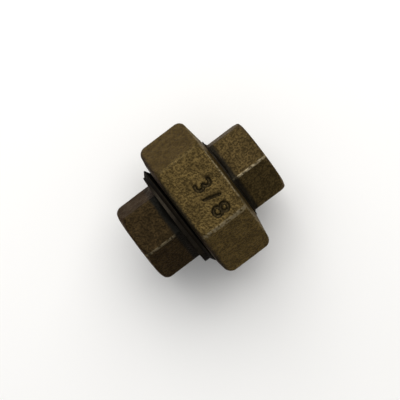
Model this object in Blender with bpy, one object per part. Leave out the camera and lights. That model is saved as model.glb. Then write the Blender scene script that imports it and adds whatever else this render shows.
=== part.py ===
"""Pipe union for 3/8 inch pipe: malleable iron with a brass seat, closed and tight.

Four pieces share one axis, which runs along X: the threaded end at -X, the tail end at +X,
the nut that draws them together, and the brass seat ring between their faces. The union
lies on one flat of its nut, with the origin under the middle of its length and +Z up.

Sizes below are in millimetres. Places along the axis are called stations, and are counted
in millimetres from the outer face of the threaded end.
"""
import math
from collections import namedtuple

import bmesh
import bpy
from mathutils import Vector

MM = 0.001
INCH = 25.4

# Tapered pipe thread, one in each end.
PIPE_PITCH = INCH / 18
PIPE_MAJOR_DIAMETER = 17.3
PIPE_THREAD_FLAT = 0.05
PIPE_TAPER = 1 / 16
PIPE_SOCKET_DEPTH = 10.4
PIPE_MOUTH_CHAMFER = 0.4
SOCKET_WALL = 2.25
WATERWAY_DIAMETER = 13.2

# Straight thread between the threaded end and the nut.
UNION_PITCH = INCH / 11
UNION_THREAD_FLAT = 0.15
UNION_THREAD_LENGTH = 12.25
THREAD_HALF_ANGLE = math.radians(30)
THREAD_RUN_IN = math.radians(45)
THREAD_LAND = 0.05
THREAD_LEAD_CHAMFER = 0.3

# Lengths of the pieces.
THREADED_END_LENGTH = 24.5
TAIL_END_LENGTH = 18.1
NUT_LENGTH = 16.6
NUT_SHOULDER_THICKNESS = 2.9
FLANGE_THICKNESS = 3.3

# Rounded corners, fillets and the slopes of the nut's two faces.
COLLAR_FILLET = 2.2
END_CORNER_ROUNDING = 1.7
NUT_FRONT_ROUNDING = 2.4
NUT_BACK_ROUNDING = 2.1
NUT_FRONT_SLOPE = 0.3
NUT_BACK_SLOPE = 0.9
NUT_FACE_LAND = 1.0

# Walls, laps and the seat.
SHOULDER_LAP = 1.4
NUT_WALL = 2.6
NUT_RELIEF_DEPTH = 0.6
NUT_MOUTH_CHAMFER = 0.2
FLANGE_CHAMFER = 0.3
SEAT_RING_WALL = 3.2
SEAT_RING_LENGTH = 3.6
SEAT_RING_STAND_OUT = 2.0
SEAT_CONE_LENGTH = 1.6
RING_BORE_STEP = 0.4

# Clearances. Pieces that touch on the real union keep a gap here.
FACE_GAP = 0.4
FIT_GAP = 0.3
HOLE_CLEARANCE = 0.5
NECK_CLEARANCE = 0.35
FLANGE_CLEARANCE = 0.4
THREAD_CREST_CLEARANCE = 0.3
THREAD_ROOT_CLEARANCE = 0.25
THREAD_FLANK_CLEARANCE = 0.25

# How far each hexagon is turned about +X from corners that point along Y.
THREADED_END_TURN = math.radians(-7.5)
TAIL_END_TURN = math.radians(-19.1)
NUT_TURN = 0.0

# How round things are divided, and how far a cutter stands clear of what it cuts.
UNION_COLUMNS = 32
PIPE_COLUMNS = 24
ENVELOPE_COLUMNS = 48
ARC_STEPS = 4
CUT_MARGIN = 1.5
CLEAR_OVERLAP = 0.3

# Plain cutters and envelopes start half a column round, so that their edges don't lie in the
# same planes as those of a hexagon's corners or a thread's columns.
HALF_UNION_COLUMN = math.pi / UNION_COLUMNS
HALF_PIPE_COLUMN = math.pi / PIPE_COLUMNS
HALF_ENVELOPE_COLUMN = math.pi / ENVELOPE_COLUMNS

# Sizes that follow from those above.
PIPE_THREAD_DEPTH = (0.5 - PIPE_THREAD_FLAT) * PIPE_PITCH / math.tan(THREAD_HALF_ANGLE)
PIPE_MINOR_DIAMETER = PIPE_MAJOR_DIAMETER - 2 * PIPE_THREAD_DEPTH
UNION_THREAD_DEPTH = (0.5 - UNION_THREAD_FLAT) * UNION_PITCH / math.tan(THREAD_HALF_ANGLE)
HEX_FLAT_RADIUS = PIPE_MAJOR_DIAMETER / 2 + SOCKET_WALL
HEX_CORNER_RADIUS = HEX_FLAT_RADIUS / math.cos(math.pi / 6)
NUT_HOLE_RADIUS = HEX_CORNER_RADIUS + HOLE_CLEARANCE
NECK_RADIUS = NUT_HOLE_RADIUS - NECK_CLEARANCE
FLANGE_RADIUS = NUT_HOLE_RADIUS + SHOULDER_LAP
NUT_MINOR_RADIUS = FLANGE_RADIUS + FLANGE_CLEARANCE
UNION_ROOT_RADIUS = NUT_MINOR_RADIUS - THREAD_CREST_CLEARANCE
UNION_CREST_RADIUS = UNION_ROOT_RADIUS + UNION_THREAD_DEPTH
NUT_MAJOR_RADIUS = UNION_CREST_RADIUS + THREAD_ROOT_CLEARANCE
NUT_FLAT_RADIUS = NUT_MAJOR_RADIUS + NUT_WALL
NUT_CORNER_RADIUS = NUT_FLAT_RADIUS / math.cos(math.pi / 6)
RING_BORE_RADIUS = WATERWAY_DIAMETER / 2 + RING_BORE_STEP
RING_RADIUS = RING_BORE_RADIUS + SEAT_RING_WALL

# Stations along the axis.
OVERALL_LENGTH = THREADED_END_LENGTH + FACE_GAP + TAIL_END_LENGTH
COLLAR_START = THREADED_END_LENGTH - UNION_THREAD_LENGTH
FLANGE_FRONT = THREADED_END_LENGTH + FACE_GAP
FLANGE_BACK = FLANGE_FRONT + FLANGE_THICKNESS
SHOULDER_FRONT = FLANGE_BACK + FIT_GAP
NUT_BACK = SHOULDER_FRONT + NUT_SHOULDER_THICKNESS
NUT_FRONT = NUT_BACK - NUT_LENGTH
RING_FRONT = FLANGE_FRONT - SEAT_RING_STAND_OUT
RING_BACK = RING_FRONT + SEAT_RING_LENGTH
AXIS_HEIGHT = NUT_FLAT_RADIUS

Ridge = namedtuple("Ridge", "middle pitch turns base height top foot run_in")


def point(station, radius, angle):
    """A point round the axis, in metres from the middle of the union's axis."""
    along = station - OVERALL_LENGTH / 2
    return Vector((along, radius * math.cos(angle), radius * math.sin(angle))) * MM


def arc(station, radius, size, first_angle, last_angle):
    """Outline points on an arc about a centre; angles in degrees, from +X towards the outside."""
    points = []
    for step in range(ARC_STEPS + 1):
        angle = math.radians(first_angle + (last_angle - first_angle) * step / ARC_STEPS)
        points.append((station + size * math.cos(angle), radius + size * math.sin(angle)))
    return points


def new_object(name, mesh_data):
    """Put a finished bmesh in the scene, with its origin on the union's axis."""
    bmesh.ops.recalc_face_normals(mesh_data, faces=mesh_data.faces)
    mesh = bpy.data.meshes.new(name)
    mesh_data.to_mesh(mesh)
    mesh_data.free()
    piece = bpy.data.objects.new(name, mesh)
    piece.location = (0, 0, AXIS_HEIGHT * MM)
    bpy.context.scene.collection.objects.link(piece)
    return piece


def add_ring(mesh, station, radius, columns, start):
    """One ring of vertices round the axis."""
    step = 2 * math.pi / columns
    return [mesh.verts.new(point(station, radius, start + step * column)) for column in range(columns)]


def add_band(mesh, ring, next_ring):
    """Join two rings of the same number of vertices with four-sided faces."""
    for column in range(len(ring)):
        after = (column + 1) % len(ring)
        mesh.faces.new((ring[column], ring[after], next_ring[after], next_ring[column]))


def add_fan(mesh, hub, rim):
    """Join one vertex to each pair of neighbours along a row of vertices."""
    for first, second in zip(rim, rim[1:]):
        mesh.faces.new((hub, first, second))


def add_ridge(mesh, ridge, ring, next_ring, start):
    """Wind a right-hand thread ridge between two plain rings.

    Each turn has four rows of vertices: foot, top, top, foot. The last column of a row meets
    the first column of the same row one turn on. At both ends the ridge sinks to its base.
    """
    columns = len(ring)
    row_count = 4 * ridge.turns
    full_angle = 2 * math.pi * ridge.turns
    offsets = (-ridge.foot, -ridge.top, ridge.top, ridge.foot)
    raised = (0, 1, 1, 0)

    def vertex(row, column):
        turn, place = divmod(row, 4)
        angle = 2 * math.pi * (turn + column / columns)
        fade = max(0.0, min(1.0, angle / ridge.run_in, (full_angle - angle) / ridge.run_in))
        station = ridge.middle + ridge.pitch * (turn + column / columns) + offsets[place]
        radius = ridge.base(station) + raised[place] * ridge.height * fade
        return mesh.verts.new(point(station, radius, start + angle))

    rows = [[vertex(row, column) for column in range(columns)] for row in range(row_count)]
    last_step = [vertex(row, 0) for row in range(row_count, row_count + 4)]
    starts = [row[0] for row in rows] + last_step
    for number, row in enumerate(rows):
        row.append(starts[number + 4])

    for row, next_row in zip(rows, rows[1:]):
        for column in range(columns):
            mesh.faces.new((row[column], row[column + 1], next_row[column + 1], next_row[column]))

    first, last = rows[0], rows[-1]
    for column in range(columns - 1):
        mesh.faces.new((ring[column], ring[column + 1], first[column + 1], first[column]))
    add_fan(mesh, first[columns - 1], [ring[-1], ring[0]] + starts[0:5])
    for column in range(1, columns):
        after = (column + 1) % columns
        mesh.faces.new((last[column], last[column + 1], next_ring[after], next_ring[column]))
    add_fan(mesh, last[1], [next_ring[1], next_ring[0]] + last_step[::-1] + [last[0]])


def turned_solid(name, outline, columns, start=0.0):
    """A closed solid turned about the axis, with thread ridges where the outline holds one.

    The outline runs along +X as (station, radius) pairs, and a Ridge stands between two pairs.
    """
    mesh = bmesh.new()
    rings = [None if isinstance(item, Ridge) else add_ring(mesh, *item, columns, start) for item in outline]
    mesh.faces.new(rings[0][::-1])
    mesh.faces.new(rings[-1])
    for number in range(1, len(rings)):
        if rings[number] is None:
            add_ridge(mesh, outline[number], rings[number - 1], rings[number + 1], start)
        elif rings[number - 1] is not None:
            add_band(mesh, rings[number - 1], rings[number])
    return new_object(name, mesh)


def hex_bar(name, flat_radius, first_station, last_station, turn):
    """A plain hexagonal bar along the axis, with a corner at the given turn from +Y."""
    mesh = bmesh.new()
    corner_radius = flat_radius / math.cos(math.pi / 6)
    ring = add_ring(mesh, first_station, corner_radius, 6, turn)
    next_ring = add_ring(mesh, last_station, corner_radius, 6, turn)
    mesh.faces.new(ring[::-1])
    mesh.faces.new(next_ring)
    add_band(mesh, ring, next_ring)
    return new_object(name, mesh)


def combine(piece, other, operation):
    """Keep a live Boolean on the piece, and hide the other shape as a working guide."""
    modifier = piece.modifiers.new(other.name, "BOOLEAN")
    modifier.operation = operation
    modifier.solver = "EXACT"
    modifier.object = other
    other.hide_render = True
    other.display_type = "WIRE"


def metal(name, color, roughness):
    """A plain metal material."""
    material = bpy.data.materials.new(name)
    material.use_nodes = True
    shader = material.node_tree.nodes["Principled BSDF"]
    shader.inputs["Base Color"].default_value = (*color, 1.0)
    shader.inputs["Metallic"].default_value = 1.0
    shader.inputs["Roughness"].default_value = roughness
    return material


def finish(piece, material):
    """Give a piece its material, and shade it smooth with its real edges kept sharp."""
    piece.data.materials.append(material)
    piece.data.shade_smooth()
    piece.data.set_sharp_from_angle(angle=THREAD_HALF_ANGLE)


def union_half_width(radius):
    """Half the axial width of the union thread's ridge at a radius."""
    return UNION_THREAD_FLAT * UNION_PITCH / 2 + (UNION_CREST_RADIUS - radius) * math.tan(THREAD_HALF_ANGLE)


def union_ridge():
    """The ridge on the threaded end."""
    foot = union_half_width(UNION_ROOT_RADIUS)
    room = UNION_THREAD_LENGTH - 2 * THREAD_LAND - 2 * foot - THREAD_LEAD_CHAMFER
    return Ridge(
        middle=COLLAR_START + THREAD_LAND + foot,
        pitch=UNION_PITCH,
        turns=math.floor(room / UNION_PITCH),
        base=lambda station: UNION_ROOT_RADIUS,
        height=UNION_THREAD_DEPTH,
        top=union_half_width(UNION_CREST_RADIUS),
        foot=foot,
        run_in=THREAD_RUN_IN,
    )


def nut_groove():
    """The ridge on the cutter for the nut's thread, in step with the threaded end's ridge."""
    first_middle = union_ridge().middle
    turns_outside = math.ceil((first_middle + CUT_MARGIN + UNION_PITCH - NUT_FRONT) / UNION_PITCH)
    middle = first_middle - turns_outside * UNION_PITCH
    return Ridge(
        middle=middle,
        pitch=UNION_PITCH,
        turns=math.floor((SHOULDER_FRONT - UNION_PITCH - middle) / UNION_PITCH),
        base=lambda station: NUT_MINOR_RADIUS,
        height=NUT_MAJOR_RADIUS - NUT_MINOR_RADIUS,
        top=union_half_width(NUT_MAJOR_RADIUS) + THREAD_FLANK_CLEARANCE,
        foot=union_half_width(NUT_MINOR_RADIUS) + THREAD_FLANK_CLEARANCE,
        run_in=THREAD_RUN_IN,
    )


def ridge_span(ridge):
    """The first and last station that a ridge reaches."""
    return ridge.middle - ridge.foot, ridge.middle + ridge.turns * ridge.pitch + ridge.foot


def pipe_groove(mouth, inward):
    """The ridge on the cutter for a pipe thread, from outside its mouth to its full depth.

    inward is +1 where the socket runs towards +X from its mouth, and -1 where it runs back.
    """
    top = PIPE_THREAD_FLAT * PIPE_PITCH / 2
    foot = top + PIPE_THREAD_DEPTH * math.tan(THREAD_HALF_ANGLE)
    turns = math.ceil((PIPE_SOCKET_DEPTH + CUT_MARGIN - 2 * foot) / PIPE_PITCH)
    deepest = mouth + inward * (PIPE_SOCKET_DEPTH - foot)
    first = deepest - turns * PIPE_PITCH if inward > 0 else deepest

    def minor_radius(station):
        return PIPE_MINOR_DIAMETER / 2 - inward * (station - mouth) * PIPE_TAPER / 2

    return Ridge(first, PIPE_PITCH, turns, minor_radius, PIPE_THREAD_DEPTH, top, foot, THREAD_RUN_IN)


def ordered_outline(outline, inward):
    """An outline written from a mouth inwards, put in the order that runs along +X."""
    return outline if inward > 0 else outline[::-1]


def cut_pipe_socket(piece, mouth, inward, deep_end):
    """Cut the pipe thread, its mouth chamfer and the waterway behind it, as far as deep_end."""
    groove = pipe_groove(mouth, inward)
    first, last = ridge_span(groove)
    outer, inner = (first - CUT_MARGIN, last) if inward > 0 else (last + CUT_MARGIN, first)
    waterway = WATERWAY_DIAMETER / 2
    bore = [
        (outer, groove.base(outer)),
        groove,
        (inner + inward * THREAD_LAND, groove.base(inner)),
        (inner + inward * (THREAD_LAND + abs(groove.base(inner) - waterway)), waterway),
        (deep_end, waterway),
    ]
    cutter = turned_solid(piece.name + "_bore", ordered_outline(bore, inward), PIPE_COLUMNS)
    combine(piece, cutter, "DIFFERENCE")

    mouth_radius = PIPE_MAJOR_DIAMETER / 2 + PIPE_MOUTH_CHAMFER
    chamfer = [
        (mouth - inward * CUT_MARGIN, mouth_radius + CUT_MARGIN),
        (mouth + inward * (mouth_radius - waterway), waterway),
    ]
    chamfer = ordered_outline(chamfer, inward)
    cutter = turned_solid(piece.name + "_mouth", chamfer, PIPE_COLUMNS, HALF_PIPE_COLUMN)
    combine(piece, cutter, "DIFFERENCE")


def round_end_corners(piece, face, inward, deep_end):
    """Round the corners of an end's hexagon where they meet its outer face."""
    size = END_CORNER_ROUNDING
    outer_radius = HEX_CORNER_RADIUS + CLEAR_OVERLAP
    first_angle = 180 if inward > 0 else 0
    outline = arc(face + inward * size, outer_radius - size, size, first_angle, 90)
    outline.append((deep_end, outer_radius))
    outline = ordered_outline(outline, inward)
    envelope = turned_solid(piece.name + "_corners", outline, ENVELOPE_COLUMNS, HALF_ENVELOPE_COLUMN)
    combine(piece, envelope, "INTERSECT")


def seat_radius(station):
    """Radius of the iron seat's cone, one gap outside the ring's cone, measured square to it."""
    ring_corner = RING_FRONT + SEAT_CONE_LENGTH
    return RING_RADIUS + (station - ring_corner) + FIT_GAP * math.sqrt(2)


def build_threaded_end(iron):
    """Hexagon, filleted collar and union thread, with a pipe socket and a conical seat."""
    hidden_end = COLLAR_START + CUT_MARGIN
    piece = hex_bar("threaded_end", HEX_FLAT_RADIUS, -CUT_MARGIN, hidden_end, THREADED_END_TURN)
    round_end_corners(piece, 0.0, 1, hidden_end + CUT_MARGIN)

    fillet_start = COLLAR_START - COLLAR_FILLET
    fillet_foot = HEX_FLAT_RADIUS - CLEAR_OVERLAP / 2
    collar = [(fillet_start - CUT_MARGIN, fillet_foot - CUT_MARGIN)]
    collar += arc(fillet_start, fillet_foot + COLLAR_FILLET, COLLAR_FILLET, -90, 0)
    collar += [
        (COLLAR_START, UNION_ROOT_RADIUS),
        union_ridge(),
        (THREADED_END_LENGTH - THREAD_LEAD_CHAMFER, UNION_ROOT_RADIUS),
        (THREADED_END_LENGTH, UNION_ROOT_RADIUS - THREAD_LEAD_CHAMFER),
    ]
    combine(piece, turned_solid("collar", collar, UNION_COLUMNS, -THREAD_RUN_IN), "UNION")
    cut_pipe_socket(piece, 0.0, 1, THREADED_END_LENGTH + CUT_MARGIN)

    seat = [(station, seat_radius(station)) for station in (RING_FRONT - FIT_GAP, FLANGE_FRONT + CUT_MARGIN)]
    combine(piece, turned_solid("seat_cone", seat, UNION_COLUMNS, HALF_UNION_COLUMN), "DIFFERENCE")
    finish(piece, iron)


def build_tail_end(iron):
    """Hexagon, round neck and shoulder flange, with a pipe socket and the ring's recess."""
    piece = hex_bar("tail_end", HEX_FLAT_RADIUS, SHOULDER_FRONT, OVERALL_LENGTH + CUT_MARGIN, TAIL_END_TURN)
    round_end_corners(piece, OVERALL_LENGTH, -1, SHOULDER_FRONT - CUT_MARGIN)

    neck_end = NUT_BACK + FIT_GAP
    fillet_foot = HEX_FLAT_RADIUS - CLEAR_OVERLAP / 2
    fillet = NECK_RADIUS - fillet_foot
    flange = [
        (FLANGE_FRONT, FLANGE_RADIUS - FLANGE_CHAMFER),
        (FLANGE_FRONT + FLANGE_CHAMFER, FLANGE_RADIUS),
        (FLANGE_BACK, FLANGE_RADIUS),
        (FLANGE_BACK, NECK_RADIUS),
    ]
    flange += arc(neck_end + fillet, NECK_RADIUS, fillet, 180, 270)
    flange.append((neck_end + fillet + CUT_MARGIN, fillet_foot - CUT_MARGIN))
    combine(piece, turned_solid("flange", flange, UNION_COLUMNS), "UNION")
    cut_pipe_socket(piece, OVERALL_LENGTH, -1, FLANGE_FRONT - CUT_MARGIN)

    recess_radius = RING_RADIUS + FIT_GAP
    recess = [(FLANGE_FRONT - CUT_MARGIN, recess_radius), (RING_BACK + FIT_GAP, recess_radius)]
    combine(piece, turned_solid("ring_recess", recess, UNION_COLUMNS, HALF_UNION_COLUMN), "DIFFERENCE")
    finish(piece, iron)


def nut_envelope():
    """The nut's turned outline: two sloped faces, each rounded into the hexagon's corners."""
    outer_radius = NUT_CORNER_RADIUS + CLEAR_OVERLAP
    front_middle = NUT_FRONT + NUT_FRONT_SLOPE + NUT_FRONT_ROUNDING
    back_middle = NUT_BACK - NUT_BACK_SLOPE - NUT_BACK_ROUNDING
    outline = [(NUT_FRONT, NUT_MAJOR_RADIUS + NUT_FACE_LAND)]
    outline += arc(front_middle, outer_radius - NUT_FRONT_ROUNDING, NUT_FRONT_ROUNDING, 180, 90)
    outline += arc(back_middle, outer_radius - NUT_BACK_ROUNDING, NUT_BACK_ROUNDING, 90, 0)
    outline.append((NUT_BACK, NUT_HOLE_RADIUS + CLEAR_OVERLAP))
    return turned_solid("nut_envelope", outline, ENVELOPE_COLUMNS, HALF_ENVELOPE_COLUMN)


def nut_cavity():
    """The space inside the nut: thread, relief and the hole through the shoulder."""
    groove = nut_groove()
    first, last = ridge_span(groove)
    relief_radius = NUT_MINOR_RADIUS + NUT_RELIEF_DEPTH
    outline = [
        (first - CUT_MARGIN, NUT_MINOR_RADIUS),
        groove,
        (last + THREAD_LAND, NUT_MINOR_RADIUS),
        (last + THREAD_LAND, relief_radius),
        (SHOULDER_FRONT, relief_radius),
        (SHOULDER_FRONT, NUT_HOLE_RADIUS),
        (NUT_BACK + CUT_MARGIN, NUT_HOLE_RADIUS),
    ]
    return turned_solid("nut_cavity", outline, UNION_COLUMNS, -THREAD_RUN_IN)


def nut_mouth():
    """The lead-in chamfer of the nut's thread."""
    mouth_radius = NUT_MAJOR_RADIUS + NUT_MOUTH_CHAMFER
    inner_radius = NUT_MINOR_RADIUS - CLEAR_OVERLAP
    outline = [
        (NUT_FRONT - CUT_MARGIN, mouth_radius + CUT_MARGIN),
        (NUT_FRONT + mouth_radius - inner_radius, inner_radius),
    ]
    return turned_solid("nut_mouth", outline, UNION_COLUMNS, HALF_UNION_COLUMN)


def build_union_nut(iron):
    """Large hexagon with its internal thread, a relief behind it and the inward shoulder."""
    piece = hex_bar("union_nut", NUT_FLAT_RADIUS, NUT_FRONT - CUT_MARGIN, NUT_BACK + CUT_MARGIN, NUT_TURN)
    combine(piece, nut_envelope(), "INTERSECT")
    combine(piece, nut_cavity(), "DIFFERENCE")
    combine(piece, nut_mouth(), "DIFFERENCE")
    finish(piece, iron)


def build_seat_ring(brass):
    """Brass ring pressed into the tail end's face, with a conical front that meets the iron seat."""
    outline = [
        (RING_FRONT, RING_RADIUS - SEAT_CONE_LENGTH),
        (RING_FRONT + SEAT_CONE_LENGTH, RING_RADIUS),
        (RING_BACK, RING_RADIUS),
    ]
    piece = turned_solid("seat_ring", outline, UNION_COLUMNS)
    bore = [(RING_FRONT - CUT_MARGIN, RING_BORE_RADIUS), (RING_BACK + CUT_MARGIN, RING_BORE_RADIUS)]
    combine(piece, turned_solid("seat_ring_bore", bore, UNION_COLUMNS), "DIFFERENCE")
    finish(piece, brass)


def main():
    """Clear the scene and build the four pieces."""
    for old in list(bpy.data.objects):
        bpy.data.objects.remove(old, do_unlink=True)
    build_threaded_end(metal("threaded_end_iron", (0.047, 0.034, 0.017), 0.55))
    build_tail_end(metal("tail_end_iron", (0.054, 0.038, 0.019), 0.55))
    build_union_nut(metal("union_nut_iron", (0.075, 0.054, 0.024), 0.6))
    build_seat_ring(metal("seat_brass", (0.55, 0.37, 0.13), 0.35))


main()
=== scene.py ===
"""Pipe union in oiled malleable iron with a brass seat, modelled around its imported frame.

The union lies on one flat of its nut. Its axis runs along X, with the threaded end at -X and
the tail end at +X. Stations are counted along the axis from the threaded end's outer face.
"""
import math

import bmesh
import bpy
from bpy.props import FloatProperty, FloatVectorProperty, PointerProperty, StringProperty
from mathutils import Matrix, Vector


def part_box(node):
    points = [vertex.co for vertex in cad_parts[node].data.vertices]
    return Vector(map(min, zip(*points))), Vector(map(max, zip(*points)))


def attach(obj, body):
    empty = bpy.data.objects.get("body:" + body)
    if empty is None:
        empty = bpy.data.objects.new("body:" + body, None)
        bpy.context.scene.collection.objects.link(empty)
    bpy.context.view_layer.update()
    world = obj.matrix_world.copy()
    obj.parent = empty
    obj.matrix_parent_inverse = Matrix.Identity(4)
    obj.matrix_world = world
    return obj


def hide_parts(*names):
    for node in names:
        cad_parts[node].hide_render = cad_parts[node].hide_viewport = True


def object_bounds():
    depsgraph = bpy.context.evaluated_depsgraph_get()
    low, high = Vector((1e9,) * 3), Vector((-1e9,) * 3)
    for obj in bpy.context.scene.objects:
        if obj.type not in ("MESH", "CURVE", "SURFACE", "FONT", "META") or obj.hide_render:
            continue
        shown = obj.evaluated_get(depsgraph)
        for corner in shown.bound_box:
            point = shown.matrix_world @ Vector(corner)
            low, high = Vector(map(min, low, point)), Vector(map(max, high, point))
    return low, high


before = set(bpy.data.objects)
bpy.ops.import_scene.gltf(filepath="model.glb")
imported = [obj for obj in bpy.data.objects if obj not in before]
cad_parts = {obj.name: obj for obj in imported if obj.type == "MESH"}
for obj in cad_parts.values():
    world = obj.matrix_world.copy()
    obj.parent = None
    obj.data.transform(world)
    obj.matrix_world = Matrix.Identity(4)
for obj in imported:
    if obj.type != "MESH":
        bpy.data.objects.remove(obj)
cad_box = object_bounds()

bl_info = {
    "name": "Pipe Union",
    "version": (1, 0, 0),
    "blender": (4, 5, 0),
    "location": "View3D > Sidebar > Pipe Union",
    "description": "Models a malleable-iron pipe union with a brass seat, and its studio stage",
    "category": "Add Mesh",
}

MM = 0.001
INCH = 25.4 * MM
TAN_30 = math.tan(math.radians(30))
COS_30 = math.cos(math.radians(30))

# Places along the axis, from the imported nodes.
AXIS_HEIGHT = (cad_box[0].z + cad_box[1].z) / 2
AXIS = Vector((0, 0, AXIS_HEIGHT))
TOP_FLAT = 2 * AXIS_HEIGHT
THREADED_FACE, THREADED_TIP = (corner.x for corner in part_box("threaded_end"))
FLANGE_FRONT, TAIL_FACE = (corner.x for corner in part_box("tail_end"))
NUT_FRONT, NUT_BACK = (corner.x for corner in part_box("union_nut"))
RING_FRONT, RING_BACK = (corner.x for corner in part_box("seat_ring"))
NUT_CORNER_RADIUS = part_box("union_nut")[1].y
FLANGE_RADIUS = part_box("tail_end")[1].y
RING_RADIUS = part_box("seat_ring")[1].y

# How far each end's hexagon is turned from the nut's.
THREADED_END_TURN = math.radians(-7.5)
TAIL_END_TURN = math.radians(-19.1)

# Fineness of round shapes. A thread and what it stands on share their columns, which keeps
# their seam smooth.
ROUND_COLUMNS = 144
ARC_STEPS = 8

# How far cutters reach past a piece, and how deep shapes that are joined start inside it.
CUT_MARGIN = 1.5 * MM
FACING = 0.15 * MM
SINK = 0.3 * MM
FILLET_SINK = 0.15 * MM
SLEEVE_SINK = 0.1 * MM

# Threads: flats and crest rounding as shares, taper on the diameter, and their ends.
UNION_CREST_FLAT = 0.15
PIPE_CREST_FLAT = 0.05
CREST_ROUNDING = 0.45
PIPE_TAPER = 1 / 16
THREAD_FADE = math.radians(45)
FADE_DIP = 0.2 * SINK
UNION_THREAD_START = math.radians(-45)
THREAD_END_ROOM = 0.05 * MM

# Gaps between pieces, and small cut edges.
SEAT_GAP = 0.3 * MM
NECK_GAP = 0.3 * MM
CREST_GAP = 0.3 * MM
FLANK_GAP = 0.25 * MM
CUT_CHAMFER = 0.3 * MM
MOUTH_CHAMFER = 0.4 * MM

# Features of the castings' looks.
WAVE_SIZE = 4.5 * MM
WAVE_DEPTH = 0.06 * MM
BLOTCH_SIZE = 2.6 * MM
SPECK_SIZE = 0.17 * MM
# Size of the patches where corners are rubbed bright and carry a painted highlight.
WEAR_AND_HIGHLIGHT_PATCH_SIZE = 0.8 * MM
GRAIN_RELIEF = 0.22 * MM
# Colour of the painted shade in recesses and where the pieces meet.
PAINTED_SHADE_COLOR = (0.006, 0.006, 0.005, 1.0)
# Radii beyond which end and nut corners are rubbed bright, with a painted highlight.
END_WEAR_AND_HIGHLIGHT_RADIUS = 9.6 * MM
NUT_WEAR_AND_HIGHLIGHT_RADIUS = 20 * MM

# Studio: the floor's size, and how far the picture's middle stands right of and above the axis.
FLOOR_RADIUS = 3.0
VIEW_OFFSET = (-0.22 * MM, -0.04 * MM)

# What every length, angle and colour property has in common.
LENGTH = {"unit": "LENGTH", "subtype": "DISTANCE", "precision": 5}
ANGLE = {"unit": "ROTATION", "subtype": "ANGLE"}
COLOR = {"size": 3, "subtype": "COLOR", "min": 0, "max": 1}


class UnionSizes(bpy.types.PropertyGroup):
    """Sizes of the union's pieces."""

    end_hexagon_flats: FloatProperty(
        name="End Hexagon Flats", description="Width of both end hexagons across their flats",
        default=21.8 * MM, **LENGTH)
    end_corner_rounding: FloatProperty(
        name="End Corner Rounding", description="Radius along the corners of the end hexagons",
        default=0.6 * MM, **LENGTH)
    end_face_rounding: FloatProperty(
        name="End Face Rounding", description="Radius where those corners meet the end faces",
        default=2.6 * MM, **LENGTH)
    collar_fillet: FloatProperty(
        name="Collar Fillet", description="Radius between the threaded end's hexagon and its collar",
        default=2.2 * MM, **LENGTH)
    flange_thickness: FloatProperty(
        name="Flange Thickness", description="Thickness of the flange that the nut pulls on",
        default=3.3 * MM, **LENGTH)
    nut_corner_rounding: FloatProperty(
        name="Nut Corner Rounding", description="Radius along the corners of the nut's hexagon",
        default=0.9 * MM, **LENGTH)
    nut_front_rounding: FloatProperty(
        name="Nut Front Rounding", description="Radius where those corners meet the nut's open face",
        default=2.8 * MM, **LENGTH)
    nut_back_rounding: FloatProperty(
        name="Nut Back Rounding", description="Radius where those corners meet the nut's shoulder",
        default=2.5 * MM, **LENGTH)
    nut_shoulder: FloatProperty(
        name="Nut Shoulder", description="Thickness of the nut's inward shoulder",
        default=2.9 * MM, **LENGTH)
    union_thread_pitch: FloatProperty(
        name="Union Thread Pitch", description="Pitch of the thread between nut and threaded end",
        default=INCH / 11, **LENGTH)
    union_thread_root: FloatProperty(
        name="Union Thread Root Radius", description="Root radius of the threaded end's outer thread",
        default=14.586 * MM, **LENGTH)
    union_thread_depth: FloatProperty(
        name="Union Thread Depth", description="Depth of the threaded end's outer thread",
        default=1.4 * MM, **LENGTH)
    collar_start: FloatProperty(
        name="Collar Start", description="Station where the threaded collar starts",
        default=12.25 * MM, **LENGTH)
    pipe_thread_pitch: FloatProperty(
        name="Pipe Thread Pitch", description="Pitch of the tapered pipe thread in each end",
        default=INCH / 18, **LENGTH)
    pipe_thread_diameter: FloatProperty(
        name="Pipe Thread Diameter", description="Major diameter of the pipe thread at its mouth",
        default=17.3 * MM, **LENGTH)
    pipe_socket_depth: FloatProperty(
        name="Pipe Socket Depth", description="Depth of the pipe thread from its mouth",
        default=10.4 * MM, **LENGTH)
    waterway_diameter: FloatProperty(
        name="Waterway Diameter", description="Diameter of the bore behind each pipe thread",
        default=13.2 * MM, **LENGTH)
    seat_bore_diameter: FloatProperty(
        name="Seat Bore Diameter", description="Diameter of the hole through the brass seat ring",
        default=14.0 * MM, **LENGTH)
    seat_cone: FloatProperty(
        name="Seat Cone", description="Length of the cone at the front of the brass seat ring",
        default=1.6 * MM, **LENGTH)
    neck_radius: FloatProperty(
        name="Neck Radius", description="Radius of the tail end's neck, inside the nut's hole",
        default=12.736 * MM, **LENGTH)
    nut_hole_radius: FloatProperty(
        name="Nut Hole Radius", description="Radius of the hole through the nut's shoulder",
        default=13.086 * MM, **LENGTH)
    numeral_height: FloatProperty(
        name="Numeral Height", description="Height of the size numerals sunk in the nut's top flat",
        default=5.0 * MM, **LENGTH)
    numeral_depth: FloatProperty(
        name="Numeral Depth", description="How deep the size numerals are sunk",
        default=0.5 * MM, **LENGTH)
    size_mark: StringProperty(
        name="Size Mark", description="Nominal pipe size in inches, sunk in the nut's top flat",
        default="3/8")


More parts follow.
